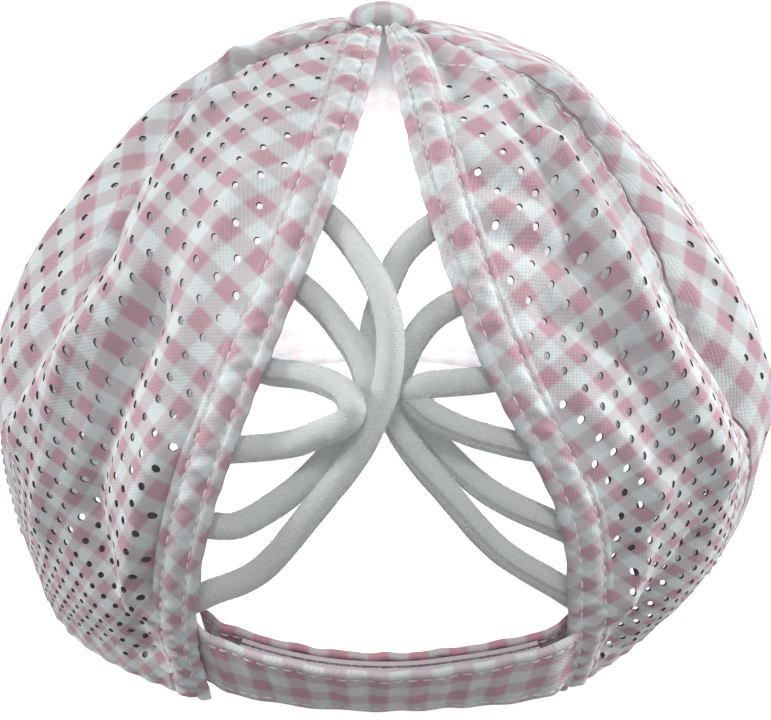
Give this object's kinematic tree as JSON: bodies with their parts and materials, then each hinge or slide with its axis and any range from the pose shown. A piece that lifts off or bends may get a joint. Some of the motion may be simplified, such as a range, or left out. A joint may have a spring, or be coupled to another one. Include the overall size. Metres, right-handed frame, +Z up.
{
  "type": "ponytail baseball cap",
  "caption": "Soft checked cap with a split back crossed by elastic cords for a ponytail, a fastened strap and a curved peak.",
  "frame": {"origin": "on the ground, in the middle of the outer box seen from above", "axes": "+Z up, +Y from the split back to the peak, +X to the right seen from the back"},
  "size_m": [0.181, 0.272, 0.1329],
  "materials": {
    "gingham_cloth": "pink and white checked cotton, matt",
    "elastic_cord": "white velvety elastic, matt",
    "hook_tape": "woven hook tape, matt",
    "loop_tape": "brushed loop tape, matt"
  },
  "bodies": {
    "root": {"back_left_panel": "gingham_cloth", "back_right_panel": "gingham_cloth", "side_left_panel": "gingham_cloth", "side_right_panel": "gingham_cloth", "front_left_panel": "gingham_cloth", "front_right_panel": "gingham_cloth", "left_split_hem": "gingham_cloth", "right_split_hem": "gingham_cloth", "bottom_band": "gingham_cloth", "crown_button": "gingham_cloth", "strap_outer_tab": "gingham_cloth", "strap_inner_tab": "gingham_cloth", "peak": "gingham_cloth", "strap_hook_tape": "hook_tape", "strap_loop_tape": "loop_tape", "cord_left_outer": "elastic_cord", "cord_left_middle": "elastic_cord", "cord_left_inner": "elastic_cord", "cord_right_outer": "elastic_cord", "cord_right_middle": "elastic_cord", "cord_right_inner": "elastic_cord"}
  },
  "joints": []
}
